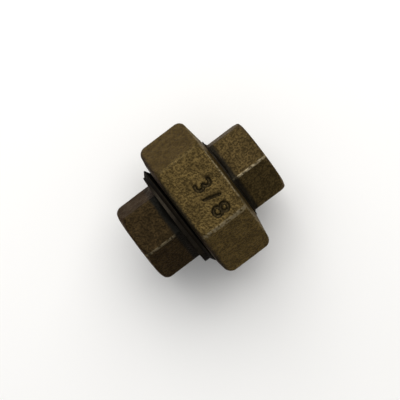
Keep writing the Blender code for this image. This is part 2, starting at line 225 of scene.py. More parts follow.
class UnionFinish(bpy.types.PropertyGroup):
    """Colours and grain of the union's metals."""

    nut_color: FloatVectorProperty(
        name="Nut Colour", description="Oiled iron of the nut",
        default=(0.079, 0.054, 0.018), **COLOR)
    # The three castings are one iron. The threaded end's colour is set much darker and the tail end's a
    # little darker than the nut's, to match how dark each looks under the lights.
    threaded_end_color: FloatVectorProperty(
        name="Threaded End Colour", description="Oiled iron of the threaded end",
        default=(0.028, 0.018, 0.007), **COLOR)
    tail_end_color: FloatVectorProperty(
        name="Tail End Colour", description="Oiled iron of the tail end",
        default=(0.059, 0.040, 0.014), **COLOR)
    # Rubbed bare iron, made bright enough to serve also as a painted highlight on the corners.
    worn_and_highlight_color: FloatVectorProperty(
        name="Worn Iron Colour", description="Bare iron where corners are rubbed bright",
        default=(0.29, 0.24, 0.15), **COLOR)
    cut_iron_color: FloatVectorProperty(
        name="Cut Iron Colour", description="Oiled iron of threads, bores and the flange",
        default=(0.018, 0.015, 0.011), **COLOR)
    brass_color: FloatVectorProperty(
        name="Brass Colour", description="Turned brass of the seat ring",
        default=(0.62, 0.41, 0.14), **COLOR)
    grain_size: FloatProperty(
        name="Grain Size", description="Width of one grain of the sand-cast skin",
        default=0.55 * MM, **LENGTH)
    grain_depth: FloatProperty(
        name="Grain Depth", description="Depth of the sand-cast grain",
        default=0.07 * MM, **LENGTH)
    skin_fineness: FloatProperty(
        name="Skin Fineness", description="Width of one face of the sand-cast skin's mesh",
        default=0.24 * MM, **LENGTH)


class UnionStage(bpy.types.PropertyGroup):
    """Camera and studio of the union."""

    camera_distance: FloatProperty(
        name="Camera Distance", description="From the middle of the union's axis to the camera",
        default=0.4, **LENGTH)
    view_width: FloatProperty(
        name="View Width", description="Width of the picture at the union's axis",
        default=112.3 * MM, **LENGTH)
    camera_elevation: FloatProperty(
        name="Camera Elevation", description="Height of the camera above the horizon",
        default=math.radians(84.2), **ANGLE)
    camera_roll: FloatProperty(
        name="Camera Roll", description="How far the union's axis rises to the right in the picture",
        default=math.radians(37), **ANGLE)
    daylight: FloatProperty(
        name="Daylight", description="Strength of the even white light from all around",
        default=0.5, min=0)
    key_power: FloatProperty(
        name="Key Light", description="Power of the main light, in watts", default=3.6, min=0)
    fill_power: FloatProperty(
        name="Fill Light", description="Power of the light that softens shadows, in watts",
        default=0.8, min=0)
    floor_color: FloatVectorProperty(
        name="Floor Colour", description="Pale studio floor",
        default=(0.90, 0.90, 0.895), **COLOR)


# Modelling helpers


def start_object(add_primitive, name, **settings):
    """Add a primitive with nothing else selected, and give it its name."""
    bpy.ops.object.select_all(action="DESELECT")
    add_primitive(**settings)
    piece = bpy.context.object
    piece.name = name
    piece.data.name = name
    return piece


def pick(piece):
    """Select one piece alone, and make it the active one."""
    bpy.ops.object.select_all(action="DESELECT")
    piece.select_set(True)
    bpy.context.view_layer.objects.active = piece


def apply_place(piece):
    """Put the piece's place in its mesh, with its origin on the world's origin."""
    pick(piece)
    bpy.ops.object.transform_apply(location=True, rotation=True, scale=True)


def select_where(piece, kind, test):
    """In edit mode, select only the vertices, edges or faces that pass a test."""
    bpy.ops.object.mode_set(mode="EDIT")
    bpy.ops.mesh.select_mode(type=kind)
    bpy.ops.mesh.select_all(action="DESELECT")
    mesh = bmesh.from_edit_mesh(piece.data)
    for item in {"VERT": mesh.verts, "EDGE": mesh.edges, "FACE": mesh.faces}[kind]:
        if test(item):
            item.select_set(True)
    bmesh.update_edit_mesh(piece.data)


def leave_edit_mode():
    bpy.ops.object.mode_set(mode="OBJECT")


def apply_modifier(piece, name, kind, **settings):
    """Add one modifier with its settings, and apply it at once."""
    modifier = piece.modifiers.new(name, kind)
    for setting, value in settings.items():
        setattr(modifier, setting, value)
    pick(piece)
    bpy.ops.object.modifier_apply(modifier=modifier.name)


def combine(piece, other, operation):
    """Join, cut or trim a piece with another closed shape, which is used up."""
    apply_modifier(
        piece, other.name, "BOOLEAN", operation=operation, solver="MANIFOLD", object=other,
        material_mode="TRANSFER")
    bpy.data.objects.remove(other, do_unlink=True)


def bar_rotation(turn):
    """Rotation that lays a primitive's own axis along X, then turns it about X."""
    return (Matrix.Rotation(turn, 3, "X") @ Matrix.Rotation(math.pi / 2, 3, "Y")).to_euler()


def hexagon_bar(name, flats, first, last, turn, rounding):
    """Hexagonal bar with rounded long corners; a corner points along Y, then turns about X."""
    bar = start_object(
        bpy.ops.mesh.primitive_cylinder_add, name, vertices=6, radius=flats / 2 / COS_30,
        depth=last - first, location=AXIS + Vector(((first + last) / 2, 0, 0)), rotation=bar_rotation(turn))
    apply_place(bar)
    select_where(bar, "EDGE", lambda edge: abs(edge.verts[0].co.x - edge.verts[1].co.x) > MM)
    bpy.ops.mesh.bevel(offset=rounding * TAN_30, segments=4, affect="EDGES")
    leave_edit_mode()
    return bar


def turned_bar(name, outline):
    """Solid turned about the axis: a cylinder whose end is extruded and resized along an outline."""
    (first, start_radius), (second, next_radius) = outline[:2]
    bar = start_object(
        bpy.ops.mesh.primitive_cylinder_add, name, vertices=ROUND_COLUMNS, radius=start_radius,
        depth=second - first, location=AXIS + Vector(((first + second) / 2, 0, 0)),
        rotation=bar_rotation(0.0))
    apply_place(bar)
    select_where(bar, "FACE", lambda face: face.normal.x > 0.9)
    resize = next_radius / start_radius
    bpy.ops.transform.resize(value=(1, resize, resize), center_override=AXIS)
    for (last_x, last_radius), (x, radius) in zip(outline[1:], outline[2:]):
        bpy.ops.mesh.extrude_region_move(TRANSFORM_OT_translate={"value": (x - last_x, 0, 0)})
        resize = radius / last_radius
        bpy.ops.transform.resize(value=(1, resize, resize), center_override=AXIS)
    leave_edit_mode()
    return bar


def arc(x, radius, size, first_angle, last_angle):
    """Outline points on an arc about a centre; angles in degrees, from +X towards the outside."""
    points = []
    for step in range(ARC_STEPS + 1):
        angle = math.radians(first_angle + (last_angle - first_angle) * step / ARC_STEPS)
        points.append((x + size * math.cos(angle), radius + size * math.sin(angle)))
    return points


def thread_coil(name, start_x, turns, pitch, base, depth, foot, top, turn):
    """One right-hand thread ridge, closed at both ends, where it fades over a part of a turn.

    foot and top are its widths at the base radius and at its crest, and turn is where it starts.
    """
    coil = start_object(bpy.ops.mesh.primitive_plane_add, name, size=1, location=AXIS)
    bpy.ops.object.mode_set(mode="EDIT")
    bpy.ops.mesh.select_all(action="SELECT")
    bpy.ops.transform.resize(value=(foot, SINK, 1), center_override=AXIS)
    bpy.ops.transform.translate(value=(start_x, base - SINK / 2, 0))
    select_where(coil, "EDGE", lambda edge: all(vert.co.y > base - SINK / 2 for vert in edge.verts))
    bpy.ops.mesh.extrude_region_move(TRANSFORM_OT_translate={"value": (0, depth, 0)})
    bpy.ops.transform.resize(value=(top / foot, 1, 1), center_override=AXIS + Vector((start_x, 0, 0)))
    select_where(coil, "EDGE", lambda edge: len(edge.link_faces) == 2)
    bpy.ops.mesh.dissolve_edges(use_verts=False)
    select_where(coil, "VERT", lambda vert: vert.co.y > base + depth / 2)
    bpy.ops.mesh.bevel(offset=top * CREST_ROUNDING, segments=3, affect="VERTICES")
    leave_edit_mode()
    profile_count = len(coil.data.vertices)
    apply_modifier(
        coil, "Winding", "SCREW", axis="X", steps=ROUND_COLUMNS, render_steps=ROUND_COLUMNS,
        iterations=turns, screw_offset=pitch, use_merge_vertices=False)

    ring_count = len(coil.data.vertices) // profile_count
    faded = round(THREAD_FADE / math.tau * ROUND_COLUMNS)
    crest_radius = base + depth
    for number in range(faded):
        height = number / faded
        rings = (number, ring_count - 1 - number)
        crest = {
            ring * profile_count + place for ring in rings for place in range(profile_count)
            if math.hypot(*coil.data.vertices[ring * profile_count + place].co.yz) > base + depth / 2
        }
        select_where(coil, "VERT", lambda vert: vert.index in crest)
        resize = (base + depth * height - FADE_DIP * (1 - height)) / crest_radius
        bpy.ops.transform.resize(value=(1, resize, resize), center_override=AXIS)
        leave_edit_mode()
    bpy.ops.object.mode_set(mode="EDIT")
    bpy.ops.mesh.select_all(action="SELECT")
    bpy.ops.mesh.fill_holes(sides=0)
    bpy.ops.mesh.select_all(action="SELECT")
    bpy.ops.mesh.normals_make_consistent(inside=False)
    leave_edit_mode()
    coil.rotation_euler.x = turn
    apply_place(coil)
    return coil


def union_half_width(sizes, radius):
    """Half the width of the union thread's ridge at a radius."""
    crest_radius = sizes.union_thread_root + sizes.union_thread_depth
    return UNION_CREST_FLAT * sizes.union_thread_pitch / 2 + (crest_radius - radius) * TAN_30


def first_union_turn(sizes):
    """Where the middle of the union thread's first turn lies."""
    foot = union_half_width(sizes, sizes.union_thread_root)
    return THREADED_FACE + sizes.collar_start + THREAD_END_ROOM + foot


def pipe_thread_cutter(name, sizes, mouth, inward):
    """Tapered pipe thread to be cut from a mouth inwards; inward is +1 towards +X, -1 back."""
    pitch = sizes.pipe_thread_pitch
    depth = (0.5 - PIPE_CREST_FLAT) * pitch / TAN_30
    top = PIPE_CREST_FLAT * pitch
    foot = top + 2 * depth * TAN_30
    minor = sizes.pipe_thread_diameter / 2 - depth
    turns = math.ceil((sizes.pipe_socket_depth + CUT_MARGIN - foot) / pitch)
    deepest = mouth + inward * (sizes.pipe_socket_depth - foot / 2)
    start_x = deepest - turns * pitch if inward > 0 else deepest
    outer = mouth - inward * 2 * CUT_MARGIN
    inner = mouth + inward * sizes.pipe_socket_depth
    runout_length, runout_depth = 0.7 * MM, 0.9 * MM
    outline = [
        (outer, minor), (inner, minor), (inner + inward * runout_length, minor - runout_depth)]
    core = turned_bar(name, outline if inward > 0 else outline[::-1])
    coil = thread_coil(name + "_coil", start_x, turns, pitch, minor, depth, foot, top, 0.0)
    combine(core, coil, "UNION")

    # The taper starts at the mouth, so the origin is put there while it is made.
    core.data.transform(Matrix.Translation(-AXIS - Vector((mouth, 0, 0))))
    core.location = AXIS + Vector((mouth, 0, 0))
    stations = [vert.co.x for vert in core.data.vertices]
    length = max(stations) - min(stations)
    factor = -inward * PIPE_TAPER / 2 / minor * length
    apply_modifier(
        core, "Taper", "SIMPLE_DEFORM", deform_method="TAPER", deform_axis="X", factor=factor)
    apply_place(core)
    return core


def coat(piece, material):
    """Give the whole piece one material."""
    piece.data.materials.clear()
    piece.data.materials.append(material)
    for face in piece.data.polygons:
        face.material_index = 0


def skin_texture(name, kind, size, **settings):
    """A procedural texture for the relief of a sand-cast skin."""
    texture = bpy.data.textures.new(name, kind)
    texture.noise_scale = size
    for setting, value in settings.items():
        setattr(texture, setting, value)
    return texture


def cast_skin(piece, finish, material):
    """Give a body the soft corners and the grain of a sand casting."""
    apply_modifier(piece, "Even skin", "REMESH", mode="VOXEL", voxel_size=finish.skin_fineness)
    apply_modifier(piece, "Soft corners", "SMOOTH", factor=0.5, iterations=2)
    waves = skin_texture(piece.name + "_waves", "CLOUDS", WAVE_SIZE, noise_depth=1)
    grain = skin_texture(piece.name + "_grain", "CLOUDS", finish.grain_size, noise_depth=1)
    for texture, depth in ((waves, WAVE_DEPTH), (grain, finish.grain_depth)):
        apply_modifier(
            piece, texture.name, "DISPLACE", texture=texture, texture_coords="LOCAL", mid_level=1.0,
            strength=depth)
        bpy.data.textures.remove(texture)
    coat(piece, material)


# Materials


def add_node(material, kind, inputs=None, **settings):
    """Add a shader node, with its settings, and feed its inputs with values or other sockets."""
    node = material.node_tree.nodes.new(kind)
    for setting, value in settings.items():
        setattr(node, setting, value)
    for key, value in (inputs or {}).items():
        if isinstance(value, bpy.types.NodeSocket):
            material.node_tree.links.new(value, node.inputs[key])
        else:
            node.inputs[key].default_value = value
    return node


def mix_colors(material, factor, first, second):
    """Blend two colours by a factor."""
    return add_node(
        material, "ShaderNodeMix", {0: factor, 6: first, 7: second}, data_type="RGBA").outputs[2]


def blank_material(name):
    """A material with only a Principled shader, and the piece's own coordinates."""
    material = bpy.data.materials.new(name)
    material.use_nodes = True
    shader = material.node_tree.nodes["Principled BSDF"]
    place = add_node(material, "ShaderNodeTexCoord").outputs["Object"]
    return material, shader, place


def scaled(color, factor):
    return tuple(min(1.0, channel * factor) for channel in color) + (1.0,)


def noise(material, place, size, detail=2.0, roughness=0.5):
    """Noise whose features are about the given size."""
    return add_node(
        material, "ShaderNodeTexNoise",
        {"Vector": place, "Scale": 1 / size, "Detail": detail, "Roughness": roughness}).outputs["Fac"]


def ramp(material, value, low, high, first=0.0, last=1.0):
    """Spread a value between two limits, smoothly."""
    node = add_node(
        material, "ShaderNodeMapRange",
        {"Value": value, "From Min": low, "From Max": high, "To Min": first, "To Max": last},
        interpolation_type="SMOOTHSTEP")
    return node.outputs["Result"]


def math_node(material, operation, first, second=0.0):
    return add_node(material, "ShaderNodeMath", {0: first, 1: second}, operation=operation).outputs[0]


def product(material, first, *others):
    """Multiply values and sockets together."""
    for other in others:
        first = math_node(material, "MULTIPLY", first, other)
    return first


def cast_iron(name, color, finish, rubbed_and_highlit_parts, shaded_boxes):
    """Oiled sand-cast iron: blotched brown and grainy, rubbed bright on some corners, where a painted
    highlight is added too, and darkened by painted shade inside the given boxes.

    The mask of those corners is made by the function passed in, from the material and its coordinates.
    """
    material, shader, place = blank_material(name)
    links = material.node_tree.links
    blotch = noise(material, place, BLOTCH_SIZE, 3.0, 0.6)
    grain = noise(material, place, finish.grain_size, 1.5, 0.6)
    speck = noise(material, place, SPECK_SIZE, 1.0)
    tone = mix_colors(material, ramp(material, blotch, 0.35, 0.65), scaled(color, 0.95), scaled(color, 1.25))
    tone = mix_colors(material, ramp(material, grain, 0.40, 0.60), darker(material, tone, 0.45), tone)
    # Painted shade darkens the tone inside the given boxes, and keeps the bright corners out of them.
    painted_shade = painted_shade_mask(material, place, shaded_boxes)
    tone = mix_colors(material, painted_shade, tone, PAINTED_SHADE_COLOR)
    unshaded = math_node(material, "SUBTRACT", 1.0, painted_shade)
    patchy = ramp(material, noise(material, place, WEAR_AND_HIGHLIGHT_PATCH_SIZE), 0.36, 0.56, 0.1, 1.0)
    wear_and_highlight = product(material, rubbed_and_highlit_parts(material, place), unshaded, patchy)
    links.new(mix_colors(material, wear_and_highlight, tone, (*finish.worn_and_highlight_color, 1.0)), shader.inputs["Base Color"])
    links.new(ramp(material, blotch, 0.3, 0.7, 0.52, 0.36), shader.inputs["Roughness"])
    shader.inputs["Metallic"].default_value = 0.8
    shader.inputs["Specular IOR Level"].default_value = 0.3
    shader.inputs["Specular Tint"].default_value = (0.50, 0.43, 0.33, 1.0)
    relief = math_node(material, "ADD", grain, product(material, speck, 0.3))
    bump = add_node(
        material, "ShaderNodeBump", {"Height": relief, "Distance": GRAIN_RELIEF, "Strength": 1.0})
    links.new(bump.outputs["Normal"], shader.inputs["Normal"])
    return material


def rubbed_and_highlit_corners(turn, radius, strength, rim=None):
    """Places rubbed bright, with a painted highlight on them: the upper corners of a hexagon beyond a radius,
    and a rim if asked.

    rim is the place along the axis and the radius beyond which the rim lies.
    """
    def mask(material, place):
        parts = add_node(material, "ShaderNodeSeparateXYZ", {0: place}).outputs
        height = math_node(material, "SUBTRACT", parts["Z"], AXIS_HEIGHT)
        # The six corners lie where six times the angle is a whole turn.
        angle = math_node(material, "ARCTAN2", height, parts["Y"])
        angle = product(material, math_node(material, "SUBTRACT", angle, turn), 6.0)
        rubbed, untouched = math.radians(1.0), math.radians(2.1)
        corners = ramp(
            material, math_node(material, "COSINE", angle), math.cos(6 * untouched), math.cos(6 * rubbed))
        distance = radius_socket(material, place)
        outside = ramp(material, distance, radius, radius + 0.5 * MM, 0.0, strength)
        side = ramp(material, parts["Y"], 2 * MM, -2 * MM, 0.1, 1.0)
        corners = product(material, corners, outside, side)
        if rim:
            edge = product(
                material, ramp(material, parts["X"], rim[0] - 0.3 * MM, rim[0]),
                ramp(material, distance, rim[1], rim[1] + 0.3 * MM, 0.0, strength))
            corners = math_node(material, "MAXIMUM", corners, edge)
        # Stronger on the upper corners, which face the key light: this part is painted highlight.
        upper = ramp(material, height, 4 * MM, 8 * MM, 0.25, 1.0)
        return product(material, corners, upper)
    return mask


def painted_shade_mask(material, place, boxes):
    """Painted shade: boxes of low corner, high corner, width of the soft edge, strength."""
    parts = add_node(material, "ShaderNodeSeparateXYZ", {0: place}).outputs
    mask = 0.0
    for low_corner, high_corner, edge, strength in boxes:
        inside = strength
        for axis, low, high in zip("XYZ", low_corner, high_corner):
            rise = ramp(material, parts[axis], low - edge, low)
            fall = ramp(material, parts[axis], high, high + edge, 1.0, 0.0)
            inside = product(material, rise, fall, inside)
        mask = math_node(material, "MAXIMUM", inside, mask)
    return mask


def darker(material, color, factor):
    """A colour socket made darker by a factor."""
    return mix_colors(material, 1 - factor, color, (0.0, 0.0, 0.0, 1.0))


def radius_socket(material, place):
    """Distance from the union's axis."""
    across = add_node(
        material, "ShaderNodeVectorMath", {0: place, 1: (0, 0, -AXIS_HEIGHT)}, operation="ADD").outputs[0]
    across = add_node(
        material, "ShaderNodeVectorMath", {0: across, 1: (0, 1, 1)}, operation="MULTIPLY").outputs[0]
    return add_node(material, "ShaderNodeVectorMath", {0: across}, operation="LENGTH").outputs["Value"]


def cut_metal(name, color, roughness, edge_tint):
    """Machined metal with fine turning marks, and dull blotches."""
    material, shader, place = blank_material(name)
    blotch = noise(material, place, 2.5 * MM, 2.0)
    tone = mix_colors(material, ramp(material, blotch, 0.35, 0.65), scaled(color, 0.75), scaled(color, 1.1))
    links = material.node_tree.links
    links.new(tone, shader.inputs["Base Color"])
    links.new(ramp(material, blotch, 0.3, 0.7, roughness + 0.1, roughness - 0.05), shader.inputs["Roughness"])
    shader.inputs["Metallic"].default_value = 0.9
    shader.inputs["Specular IOR Level"].default_value = 0.3
    shader.inputs["Specular Tint"].default_value = (*edge_tint, 1.0)
    radius = radius_socket(material, place)
    along = add_node(material, "ShaderNodeSeparateXYZ", {0: place}).outputs["X"]
    marks = add_node(material, "ShaderNodeCombineXYZ", {"X": along, "Y": radius}).outputs[0]
    marks = noise(material, marks, 0.12 * MM, 2.0)
    bump = add_node(
        material, "ShaderNodeBump", {"Height": marks, "Distance": 0.02 * MM, "Strength": 0.6})
    links.new(bump.outputs["Normal"], shader.inputs["Normal"])
    return material


def cut_iron(finish):
    """Oiled iron where it has been cut; the three castings share it."""
    made = bpy.data.materials.get("oiled_cut_iron")
    return made or cut_metal("oiled_cut_iron", finish.cut_iron_color, 0.45, (0.24, 0.21, 0.17))


def plain_floor(color):
    """Pale, matt studio floor."""
    material, shader, place = blank_material("pale_floor")
    mottle = noise(material, place, 40 * MM, 2.0)
    tone = mix_colors(material, mottle, scaled(color, 0.985), scaled(color, 1.0))
    material.node_tree.links.new(tone, shader.inputs["Base Color"])
    shader.inputs["Roughness"].default_value = 0.9
    return material


# Pieces


def hand_over(piece, body, node):
    """Let a finished piece ride on its body and stand for its node."""
    pick(piece)
    bpy.ops.object.shade_smooth_by_angle(angle=math.radians(40))
    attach(piece, body)
    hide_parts(node)


def end_envelope(name, sizes, face, inward, far_end):
    """Turned shape that rounds the corners of an end hexagon where they meet its face."""
    rounding = sizes.end_face_rounding
    outer = sizes.end_hexagon_flats / 2 / COS_30 - sizes.end_corner_rounding * (1 / COS_30 - 1)
    outline = [(face - inward * FACING, outer - rounding)]
    outline += arc(face + inward * rounding, outer - rounding, rounding, 180 if inward > 0 else 0, 90)
    outline.append((far_end, outer))
    return turned_bar(name, outline if inward > 0 else outline[::-1])


class UNION_OT_threaded_end(bpy.types.Operator):
    """Model the threaded end, with its hexagon, collar, union thread, pipe thread and seat"""

    bl_idname = "pipe_union.threaded_end"
    bl_label = "Threaded End"

    def execute(self, context):
        sizes, finish = context.scene.union_sizes, context.scene.union_finish
        flat_radius = sizes.end_hexagon_flats / 2
        root = sizes.union_thread_root
        collar = THREADED_FACE + sizes.collar_start
        body = hexagon_bar(
            "threaded_end_iron", sizes.end_hexagon_flats, THREADED_FACE - CUT_MARGIN, collar + CUT_MARGIN,
            THREADED_END_TURN, sizes.end_corner_rounding)
        corners = end_envelope("end_corners", sizes, THREADED_FACE, 1, collar + 2 * CUT_MARGIN)
        combine(body, corners, "INTERSECT")
        fillet = sizes.collar_fillet
        foot = flat_radius - FILLET_SINK
        outline = [(collar - fillet - CUT_MARGIN, foot - CUT_MARGIN)]
        outline += arc(collar - fillet, foot + fillet, fillet, -90, 0)
        outline += [(collar, root - SLEEVE_SINK), (collar + 2 * CUT_MARGIN, root - SLEEVE_SINK)]
        combine(body, turned_bar("collar", outline), "UNION")
        # Painted shade on the collar beside the nut.
        painted_shade = [((collar - 1.6 * MM, -1, -1), (THREADED_TIP, 1, 1), 1.1 * MM, 1.0)]
        cast_skin(body, finish, cast_iron(
            "threaded_end_casting", finish.threaded_end_color, finish,
            rubbed_and_highlit_corners(THREADED_END_TURN, END_WEAR_AND_HIGHLIGHT_RADIUS, 0.3), painted_shade))

        cut = cut_iron(finish)
        sleeve = turned_bar("thread_sleeve", [
            (collar - SLEEVE_SINK, root - 4 * SLEEVE_SINK), (collar, root),
            (THREADED_TIP - CUT_CHAMFER, root), (THREADED_TIP, root - CUT_CHAMFER)])
        pitch = sizes.union_thread_pitch
        start_x = first_union_turn(sizes)
        foot = union_half_width(sizes, root)
        room = THREADED_TIP - CUT_CHAMFER - THREAD_END_ROOM - foot - start_x
        turns = math.floor(room / pitch)
        coil = thread_coil(
            "thread_ridge", start_x, turns, pitch, root, sizes.union_thread_depth,
            2 * foot, UNION_CREST_FLAT * pitch, UNION_THREAD_START)
        combine(sleeve, coil, "UNION")
        coat(sleeve, cut)
        combine(body, sleeve, "UNION")

        threads = pipe_thread_cutter("pipe_thread", sizes, THREADED_FACE, 1)
        coat(threads, cut)
        combine(body, threads, "DIFFERENCE")
        waterway = sizes.waterway_diameter / 2
        mouth = sizes.pipe_thread_diameter / 2 + MOUTH_CHAMFER
        seat_front = RING_FRONT - SEAT_GAP
        # The seat is a 45 degree cone, so its radius is its station and a fixed offset.
        cone_offset = RING_RADIUS - (RING_FRONT + sizes.seat_cone) + SEAT_GAP * math.sqrt(2)
        bore = turned_bar("waterway", [
            (THREADED_FACE - CUT_MARGIN, flat_radius / COS_30), (THREADED_FACE, flat_radius / COS_30),
            (THREADED_FACE, mouth), (THREADED_FACE + mouth - waterway, waterway),
            (seat_front, waterway), (seat_front, seat_front + cone_offset),
            (THREADED_TIP + CUT_MARGIN, THREADED_TIP + CUT_MARGIN + cone_offset)])
        coat(bore, cut)
        combine(body, bore, "DIFFERENCE")
        hand_over(body, "threaded_half", "threaded_end")
        return {"FINISHED"}


class UNION_OT_tail_end(bpy.types.Operator):
    """Model the tail end, with its hexagon, neck, flange, pipe thread and ring recess"""

    bl_idname = "pipe_union.tail_end"
    bl_label = "Tail End"

    def execute(self, context):
        sizes, finish = context.scene.union_sizes, context.scene.union_finish
        flat_radius = sizes.end_hexagon_flats / 2
        neck_end = NUT_BACK + NECK_GAP
        foot = flat_radius - FILLET_SINK
        fillet = sizes.neck_radius - foot
        body = hexagon_bar(
            "tail_end_iron", sizes.end_hexagon_flats, neck_end - 2 * CUT_MARGIN, TAIL_FACE + CUT_MARGIN,
            TAIL_END_TURN, sizes.end_corner_rounding)
        corners = end_envelope("end_corners", sizes, TAIL_FACE, -1, neck_end - 3 * CUT_MARGIN)
        combine(body, corners, "INTERSECT")
        outline = [(neck_end - 2 * CUT_MARGIN, sizes.neck_radius - SLEEVE_SINK)]
        outline += arc(neck_end + fillet, sizes.neck_radius - SLEEVE_SINK / 2, fillet, 180, 270)
        outline.append((neck_end + fillet + CUT_MARGIN, foot - CUT_MARGIN))
        combine(body, turned_bar("neck_fillet", outline), "UNION")
        # Painted shade on the neck, between the nut and the tail end's hexagon.
        painted_shade = [((FLANGE_FRONT, -1, -1), (NUT_BACK + 1.2 * MM, 1, 1), 1.3 * MM, 0.9)]
        # The tail end's corners get the strongest rubbed mark, with a painted highlight on it.
        cast_skin(body, finish, cast_iron(
            "tail_end_casting", finish.tail_end_color, finish,
            rubbed_and_highlit_corners(TAIL_END_TURN, END_WEAR_AND_HIGHLIGHT_RADIUS, 0.8), painted_shade))

        cut = cut_iron(finish)
        flange_back = FLANGE_FRONT + sizes.flange_thickness
        flange = turned_bar("flange", [
            (FLANGE_FRONT, FLANGE_RADIUS - CUT_CHAMFER), (FLANGE_FRONT + CUT_CHAMFER, FLANGE_RADIUS),
            (flange_back - CUT_CHAMFER, FLANGE_RADIUS), (flange_back, FLANGE_RADIUS - CUT_CHAMFER),
            (flange_back, sizes.neck_radius), (neck_end, sizes.neck_radius)])
        coat(flange, cut)
        combine(body, flange, "UNION")

        threads = pipe_thread_cutter("pipe_thread", sizes, TAIL_FACE, -1)
        coat(threads, cut)
        combine(body, threads, "DIFFERENCE")
        waterway = sizes.waterway_diameter / 2
        mouth = sizes.pipe_thread_diameter / 2 + MOUTH_CHAMFER
        recess, recess_end = RING_RADIUS + SEAT_GAP, RING_BACK + SEAT_GAP
        bore = turned_bar("waterway", [
            (FLANGE_FRONT - CUT_MARGIN, recess), (recess_end, recess), (recess_end, waterway),
            (TAIL_FACE - mouth + waterway, waterway), (TAIL_FACE, mouth),
            (TAIL_FACE, flat_radius / COS_30), (TAIL_FACE + CUT_MARGIN, flat_radius / COS_30)])
        coat(bore, cut)
        combine(body, bore, "DIFFERENCE")
        hand_over(body, "tail_half", "tail_end")
        return {"FINISHED"}


class UNION_OT_nut(bpy.types.Operator):
    """Model the nut, with its hexagon, size numerals, thread, relief and shoulder"""

    bl_idname = "pipe_union.nut"
    bl_label = "Union Nut"

    def execute(self, context):
        sizes, finish = context.scene.union_sizes, context.scene.union_finish
        flats = 2 * NUT_CORNER_RADIUS * COS_30
        root = sizes.union_thread_root
        depth = sizes.union_thread_depth
        minor = root + CREST_GAP
        major = root + depth + FLANK_GAP
        body = hexagon_bar(
            "union_nut_iron", flats, NUT_FRONT - CUT_MARGIN, NUT_BACK + CUT_MARGIN, 0.0,
            sizes.nut_corner_rounding)
        front, back = sizes.nut_front_rounding, sizes.nut_back_rounding
        front_draft, back_draft = 0.3 * MM, 0.9 * MM
        outer = NUT_CORNER_RADIUS - sizes.nut_corner_rounding * (1 / COS_30 - 1)
        outline = [(NUT_FRONT, major + 1.0 * MM)]
        outline += arc(NUT_FRONT + front_draft + front, outer - front, front, 180, 90)
        outline += arc(NUT_BACK - back_draft - back, outer - back, back, 90, 0)
        outline.append((NUT_BACK, sizes.nut_hole_radius + 0.3 * MM))
        combine(body, turned_bar("nut_envelope", outline), "INTERSECT")
        combine(body, size_numerals(sizes), "DIFFERENCE")
        # Painted shade at the bottom of the numerals, and round the nut's open end.
        painted_shade = [
            ((-4.5 * MM, -9.8 * MM, TOP_FLAT - 1 * MM), (7.5 * MM, 9.8 * MM, TOP_FLAT - 0.28 * MM),
             0.15 * MM, 0.6),
            ((NUT_FRONT - 1 * MM, -1, -1), (NUT_FRONT + 0.5 * MM, 1, 1), 1.3 * MM, 0.9),
        ]
        # The nut's shoulder rim is rubbed bright as well, with a painted highlight.
        cast_skin(body, finish, cast_iron(
            "nut_casting", finish.nut_color, finish,
            rubbed_and_highlit_corners(0.0, NUT_WEAR_AND_HIGHLIGHT_RADIUS, 0.45, (NUT_BACK - 1.15 * MM, 18.3 * MM)), painted_shade))

        cut = cut_iron(finish)
        pitch = sizes.union_thread_pitch
        start_x = first_union_turn(sizes)
        start_x -= math.ceil((start_x + CUT_MARGIN + pitch - NUT_FRONT) / pitch) * pitch
        shoulder = NUT_BACK - sizes.nut_shoulder
        turns = math.floor((shoulder - pitch - start_x) / pitch)
        foot = 2 * (union_half_width(sizes, minor) + FLANK_GAP)
        groove = 2 * (union_half_width(sizes, major) + FLANK_GAP)
        relief = start_x + turns * pitch + foot / 2 + THREAD_END_ROOM
        relief_radius = minor + 0.6 * MM
        cavity = turned_bar("nut_cavity", [
            (start_x - foot / 2 - CUT_MARGIN, minor), (relief, minor), (relief, relief_radius),
            (shoulder, relief_radius), (shoulder, sizes.nut_hole_radius),
            (NUT_BACK + CUT_MARGIN, sizes.nut_hole_radius)])
        coil = thread_coil(
            "nut_thread", start_x, turns, pitch, minor, major - minor, foot, groove, UNION_THREAD_START)
        combine(cavity, coil, "UNION")
        coat(cavity, cut)
        combine(body, cavity, "DIFFERENCE")
        # A 45 degree chamfer, a little wider than the thread and carried on inside it.
        mouth = major + 0.2 * MM
        chamfer = turned_bar("nut_mouth", [
            (NUT_FRONT - CUT_MARGIN, mouth + CUT_MARGIN),
            (NUT_FRONT + mouth - minor + SINK, minor - SINK)])
        coat(chamfer, cut)
        combine(body, chamfer, "DIFFERENCE")
        hand_over(body, "nut", "union_nut")
        return {"FINISHED"}


def size_numerals(sizes):
    """The nominal size as a solid, let into the nut's top flat."""
    capital_share = 0.7
    text = start_object(
        bpy.ops.object.text_add, "size_numerals", location=(2.5 * MM, -3.1 * MM, TOP_FLAT),
        rotation=(0, 0, math.radians(-90)))
    text.data.body = sizes.size_mark
    text.data.size = sizes.numeral_height / capital_share
    text.data.space_character = 1.35
    text.data.align_x = "CENTER"
    text.data.align_y = "CENTER"
    text.data.extrude = sizes.numeral_depth
    text.data.resolution_u = 6
    bpy.ops.object.convert(target="MESH")
    numerals = bpy.context.object
    apply_place(numerals)
    bpy.ops.object.mode_set(mode="EDIT")
    bpy.ops.mesh.select_all(action="SELECT")
    bpy.ops.mesh.remove_doubles(threshold=0.001 * MM)
    bpy.ops.mesh.normals_make_consistent(inside=False)
    stroke_growth = 0.14 * MM
    bpy.ops.transform.shrink_fatten(value=stroke_growth)
    leave_edit_mode()
    return numerals


